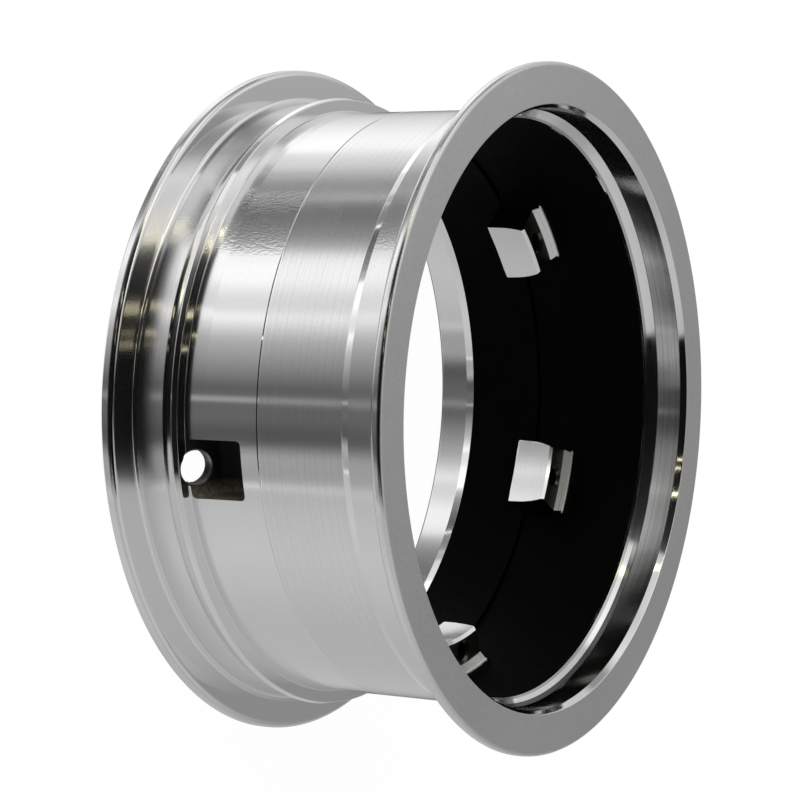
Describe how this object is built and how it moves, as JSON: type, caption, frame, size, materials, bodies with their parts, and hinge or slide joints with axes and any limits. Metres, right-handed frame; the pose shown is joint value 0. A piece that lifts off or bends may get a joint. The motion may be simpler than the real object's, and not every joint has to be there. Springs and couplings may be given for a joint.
{
  "type": "scooter wheel rim",
  "caption": "Open tubular wheel rim with tyre flanges, a bead hump, inner cast lugs with tapped holes and a slanted valve pocket.",
  "frame": {"origin": "centre of the rim's back face, which it lies on", "axes": "+Z along the wheel axis towards the lugged front end, +X through a lug, -Y through the valve pocket"},
  "size_m": [0.1834, 0.1834, 0.082],
  "materials": {
    "rim_alloy": "turned satin and polished alloy outside, black cast inside"
  },
  "bodies": {
    "root": {"rim": "rim_alloy"}
  },
  "joints": []
}
